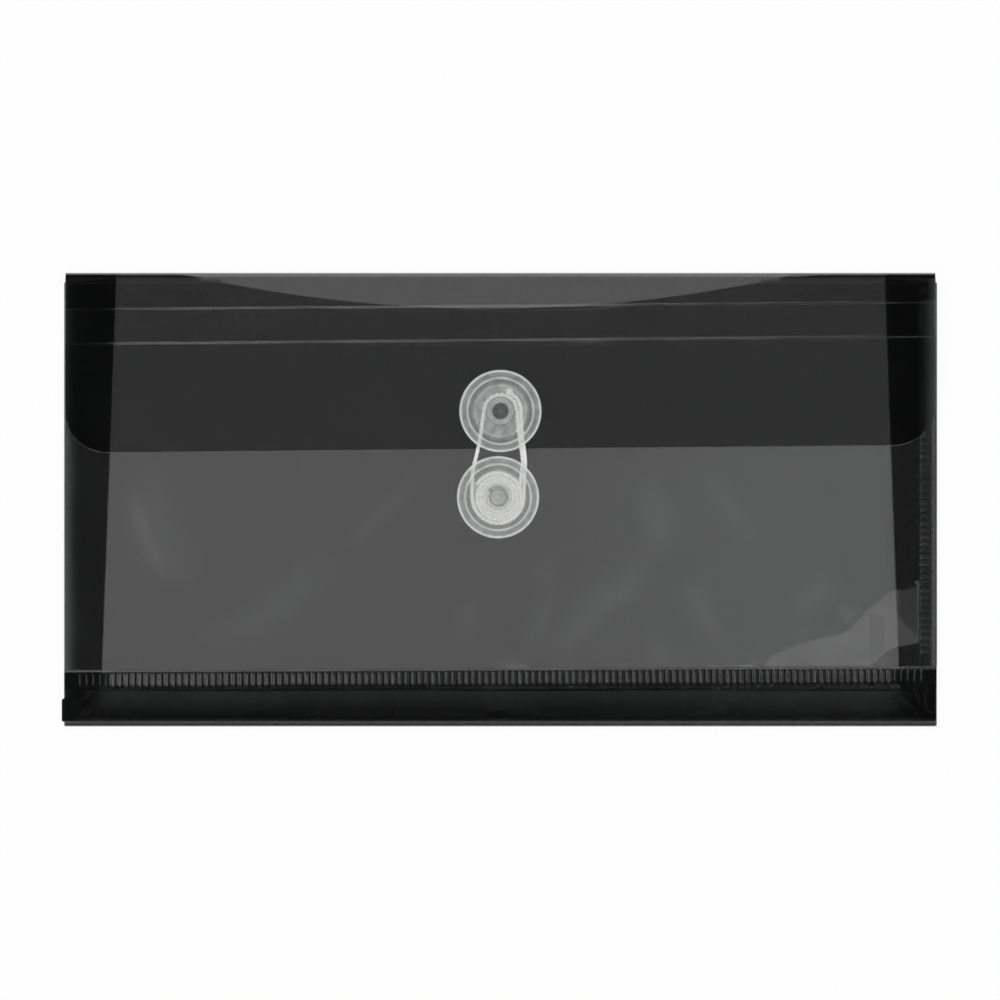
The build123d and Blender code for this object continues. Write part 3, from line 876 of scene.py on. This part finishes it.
for tieName in ("upper", "lower"):
    spot = tie[tieName]
    centre, post = spot["centre"], spot["post"]
    base = spot["sheetTop"] + tie["standoff"]
    foot = spot["sheetTop"] - blank["sheet"] - tie["washerHeight"]
    low = base + tie["thickness"] + tie["float"]
    top = low + tie["headHeight"]
    bore = top - spot["bore"]
    head, stem, mouth, throat = tie["headRadius"], tie["postRadius"], spot["mouth"], spot["throat"]
    ring, floorTone = spot["ringTone"], spot["floorTone"]
    rivetProfile = (
        (0.02, foot, 0.2), (stem, foot, 0.2), (stem, low, 0.2), (head - 0.15, low, 0.1),
        (head, low + 0.12, ring), (head, top - 0.3, ring), (head - 0.1, top - 0.1, ring),
        (head - 0.3, top, ring), (mouth + 0.65, top + 0.02, ring), (mouth + 0.5, top - 0.1, ring / 2),
        (mouth + 0.3, top - 0.1, ring / 2), (mouth + 0.15, top, ring + 0.15),
        (mouth, top - 0.12, ring), (throat + 0.05, max(low, bore + 0.2), 0.0),
        (throat, bore + 0.1, floorTone), (throat - 0.2, bore, floorTone), (0.6, bore, floorTone),
        (0.5, bore + 0.12, floorTone + 0.15), (0.02, bore + 0.16, floorTone + 0.15),
    )
    tiePiece(f"{tieName}_disc", "disc", discProfile, base, centre, spot["disc"], f"{tieName}_tie_disc")
    tiePiece(f"{tieName}_rivet_head", "rivet", rivetProfile, 0, centre, post, f"{tieName}_rivet")
    tiePiece(f"{tieName}_washer", "rivet", washerProfile, foot, centre, post, f"{tieName}_rivet_washer")
print("discs and rivets made")

# String: three plies twisted together along the route's own spline
string = {
    "plyRadius": 0.32, "plyOffset": 0.29, "twist": 4.2, "sides": 7, "plies": 3, "resolution": 14,
    "upperZ": 3.35, "lowerZ": 2.55, "spareScale": 0.86, "slackLean": 2.6, "slackKeep": 0.35,
    "strands": (
        [(-4.8, 25.85, 3.35), (-5.5, 20.6, 3.35), (-6.6, 14.15, 3.35)]
        + [(-8.1, 8.6, 2.6), (-8.25, 5.0, 2.55), (-8.25, 0.75, 2.55)],
        [(4.8, 25.85, 3.35), (5.3, 19.5, 3.35), (6.2, 14.15, 3.25)]
        + [(6.6, 10.8, 2.75), (6.0, 7.25, 2.55), (5.6, 3.5, 2.55)],
        [(6.0, 25.85, 3.35), (6.2, 19.5, 3.5), (6.95, 14.15, 3.66)]
        + [(7.3, 10.8, 3.05), (7.0, 7.25, 2.7), (6.85, 0.75, 2.55)],
    ),
}


def routePoints(route):
    curve = bpy.data.curves.new("route", "CURVE")
    curve.dimensions = "3D"
    curve.resolution_u = string["resolution"]
    spline = curve.splines.new("NURBS")
    spline.points.add(len(route) - 1)
    for point, place in zip(spline.points, route):
        point.co = (*(v * mm for v in place), 1)
    spline.order_u = 3
    spline.use_endpoint_u = True
    carrier = addObject("route", curve)
    bpy.context.view_layer.update()
    line = bpy.data.meshes.new_from_object(carrier)
    points = np.array([v.co for v in line.vertices]) / mm
    bpy.data.objects.remove(carrier)
    bpy.data.curves.remove(curve)
    bpy.data.meshes.remove(line)
    return points


def plyShells(points, scale):
    ahead = np.gradient(points, axis=0)
    ahead /= np.linalg.norm(ahead, axis=1, keepdims=True)
    sideways = np.cross(ahead, (0, 0, 1))
    sideways /= np.linalg.norm(sideways, axis=1, keepdims=True)
    upward = np.cross(sideways, ahead)
    travel = np.concatenate([[0], np.cumsum(np.linalg.norm(np.diff(points, axis=0), axis=1))])
    sides, count = string["sides"], len(points)
    around = np.arange(sides)[None, :, None] * 2 * math.pi / sides
    ring = np.cos(around) * sideways[:, None] + np.sin(around) * upward[:, None]
    index = np.arange(count * sides).reshape(count, sides)
    after = np.roll(index, -1, 1)
    faces = np.stack([index[:-1], index[1:], after[1:], after[:-1]], -1).reshape(-1, 4).tolist()
    first, last = count * sides, count * sides + 1
    faces += [(first, int(index[0, i]), int(after[0, i])) for i in range(sides)]
    faces += [(last, int(after[-1, i]), int(index[-1, i])) for i in range(sides)]
    for ply in range(string["plies"]):
        turn = (travel / string["twist"] * 2 * math.pi + ply * 2 * math.pi / string["plies"])[:, None]
        middle = points + scale * string["plyOffset"] * (np.cos(turn) * sideways + np.sin(turn) * upward)
        tube = middle[:, None] + scale * string["plyRadius"] * ring
        yield np.concatenate([tube.reshape(-1, 3), middle[:1], middle[-1:]]).tolist(), faces


def stringPiece(name, routes, body, nodes, scale=1.0):
    vertices, faces = [], []
    for route in routes:
        for plyVertices, plyFaces in plyShells(routePoints(route), scale):
            faces += [tuple(i + len(vertices) for i in face) for face in plyFaces]
            vertices += plyVertices
    piece = addMesh(name, vertices, faces, cottonTwine)
    ridePiece(piece, body, *nodes)
    return piece


# Points of a level arc about a post
def arc(post, radius, height, start, end, count):
    angles = np.linspace(start, end, count)
    return [(post[0] + radius * math.cos(a), post[1] + radius * math.sin(a), height) for a in angles]


upperPost, lowerPost = tie["upper"]["centre"], tie["lower"]["centre"]
upperZ, lowerZ = string["upperZ"], string["lowerZ"]
loop = {"bight": 4.8, "points": 9, "fixedEnd": 6.0, "fixedPoints": 6, "knotTurn": 1.15, "knotOut": 6.15}
knot = {"length": 0.45, "width": 0.42, "lift": 0.1, "points": 40}
arch = arc(upperPost, loop["bight"], upperZ, 0, math.pi, loop["points"])
fixedEnd = arc(upperPost, loop["fixedEnd"], upperZ, 0, loop["knotTurn"] - 0.1, loop["fixedPoints"])
fixedEnd += arc(upperPost, loop["knotOut"], upperZ, loop["knotTurn"], loop["knotTurn"], 1)
knotX, knotY, knotZ = fixedEnd[-1]
knotRoute = [
    (
        knotX + knot["length"] * math.cos(a * 2), knotY + knot["width"] * math.sin(a * 3),
        knotZ + knot["lift"] + knot["width"] * math.cos(a * 3),
    )
    for a in np.linspace(0, 2 * math.pi, knot["points"])
]
stringPiece(
    "string_upper_loop", [arch, fixedEnd, knotRoute], "flap", ["string_upper_bight", "string_fixed_end"]
)

winding = {
    "pitch": 1.2, "pointsPerTurn": 16, "lead": 3.0, "settle": 0.08, "tuck": 0.5,
    "bight": 7.55, "bightPoints": 13,
    "first": {"inner": 3.1, "halfTurns": 5, "lift": 0, "past": 0},
    "second": {"inner": 3.75, "halfTurns": 6, "lift": 0.68, "past": 150},
}


# A flat spiral that ends so far past the right of the post; one laid over another dips under at its ends
def spiral(inner, halfTurns, lift, past):
    steps = int(halfTurns / 2 * winding["pointsPerTurn"])
    points = []
    for i in range(steps + 1):
        angle = math.radians(past) + (i / steps - 1) * halfTurns * math.pi
        radius = inner + i / steps * halfTurns / 2 * winding["pitch"]
        radius -= winding["tuck"] * max(0, 1 - i / 3) * (lift > 0)
        height = lowerZ - winding["settle"] + lift * min(1, i / 3, (steps - i) / 3)
        points += arc(lowerPost, radius, height, angle, angle, 1)
    return points


turns = spiral(**winding["first"])
turns.append((turns[-1][0], lowerPost[1] + winding["lead"], lowerZ))
overTurns = spiral(**winding["second"])
lowerBight = arc(lowerPost, winding["bight"], lowerZ, math.pi, 2 * math.pi, winding["bightPoints"])
stringPiece(
    "string_winding", [turns, overTurns, lowerBight], "front", ["string_lower_turns", "string_lower_bight"]
)
strands = stringPiece("string_strands_laid", string["strands"], "flap", ["string_strands"])
spare = stringPiece("string_strands_spare", string["strands"], "front", [], string["spareScale"])
for piece, post, height in ((strands, upperPost, upperZ), (spare, lowerPost, lowerZ)):
    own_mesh(piece)
print("string made")

# Floor, white to the eye, that still takes the envelope's shadow
floor = {"size": 4.0, "drop": 0.15, "white": "#f7f7f7", "glow": 0.92, "roughness": 0.9}
bpy.ops.mesh.primitive_plane_add(size=floor["size"], location=(0, 0, -floor["drop"] * mm))
floorObject = bpy.context.object
floorObject.name = "floor"
floorPaint, tree, shader = newMaterial("white_paper_sweep")
setInputs(tree, shader, {
    "Base Color": hexColour(floor["white"]), "Roughness": floor["roughness"],
    "Specular IOR Level": 0.0,
})
rays = addNode(tree, "LightPath").outputs
seen = rays["Is Camera Ray"]
for kind in ("Is Glossy Ray", "Is Transmission Ray"):
    seen = addNode(tree, "Math", {0: seen, 1: rays[kind]}, operation="MAXIMUM").outputs["Value"]
share = addNode(tree, "Math", {0: seen, 1: floor["glow"]}, operation="MULTIPLY")
glow = addNode(tree, "Emission", {"Strength": 1.0})
mixed = addNode(tree, "MixShader", {
    0: share.outputs["Value"], 1: shader.outputs["BSDF"], 2: glow.outputs["Emission"],
})
setInputs(tree, tree.nodes["Material Output"], {"Surface": mixed.outputs["Shader"]})
floorObject.data.materials.append(floorPaint)

# Even studio room, dark straight above the camera, white behind the object
room = {"strength": 0.62, "zenith": 0.02, "darkFrom": 0.80, "darkTo": 0.95}
world = bpy.data.worlds.new("studio")
bpy.context.scene.world = world
world.use_nodes = True
tree = world.node_tree
tree.nodes.clear()
way = addNode(tree, "TexCoord")
parts = addNode(tree, "SeparateXYZ", {0: way.outputs["Generated"]})
dome = addNode(tree, "MapRange", {
    "From Min": room["darkFrom"], "From Max": room["darkTo"],
    "To Min": room["strength"], "To Max": room["zenith"], "Value": parts.outputs["Z"],
}, interpolation_type="SMOOTHSTEP")
rays = addNode(tree, "LightPath")
strength = addNode(
    tree, "Mix", {0: rays.outputs["Is Camera Ray"], 2: dome.outputs["Result"], 3: 1.0}, data_type="FLOAT"
)
sky = addNode(tree, "Background", {"Color": (1, 1, 1, 1), "Strength": strength.outputs[0]})
addNode(tree, "OutputWorld", {"Surface": sky.outputs["Background"]})

# Soft boxes round the camera, and two small ones close beside it that show in the sheet's facets:
# name, direction, tilt from upright, size, radiance and distance
lamps = (
    ("north_box", (0, 1), 31, (0.9, 0.6), 1.2, 1.2),
    ("south_box", (0, -1), 31, (0.9, 0.6), 1.2, 1.2),
    ("west_box", (-1, 0), 26, (0.9, 0.75), 1.2, 1.2),
    ("east_box", (1, 0), 31, (0.9, 0.6), 1.2, 1.2),
    ("facet_box", (0.768, -0.64), 5.05, (0.86, 0.41), 1.1, 6.0),
    ("wrinkle_box", (-0.93, -0.37), 4.1, (0.6, 0.24), 0.5, 6.0),
)
for name, towards, tilt, size, radiance, distance in lamps:
    data = bpy.data.lights.new(name, "AREA")
    data.shape = "RECTANGLE"
    data.size, data.size_y = size
    data.energy = math.pi * data.size * data.size_y * radiance
    turn = math.atan2(towards[1], towards[0])
    tilt = math.radians(tilt)
    box = addObject(name, data)
    outward = distance * math.sin(tilt)
    box.location = (outward * math.cos(turn), outward * math.sin(turn), distance * math.cos(tilt))
    box.rotation_euler = (tilt, 0, turn + math.pi / 2)
print("floor and lamps made")
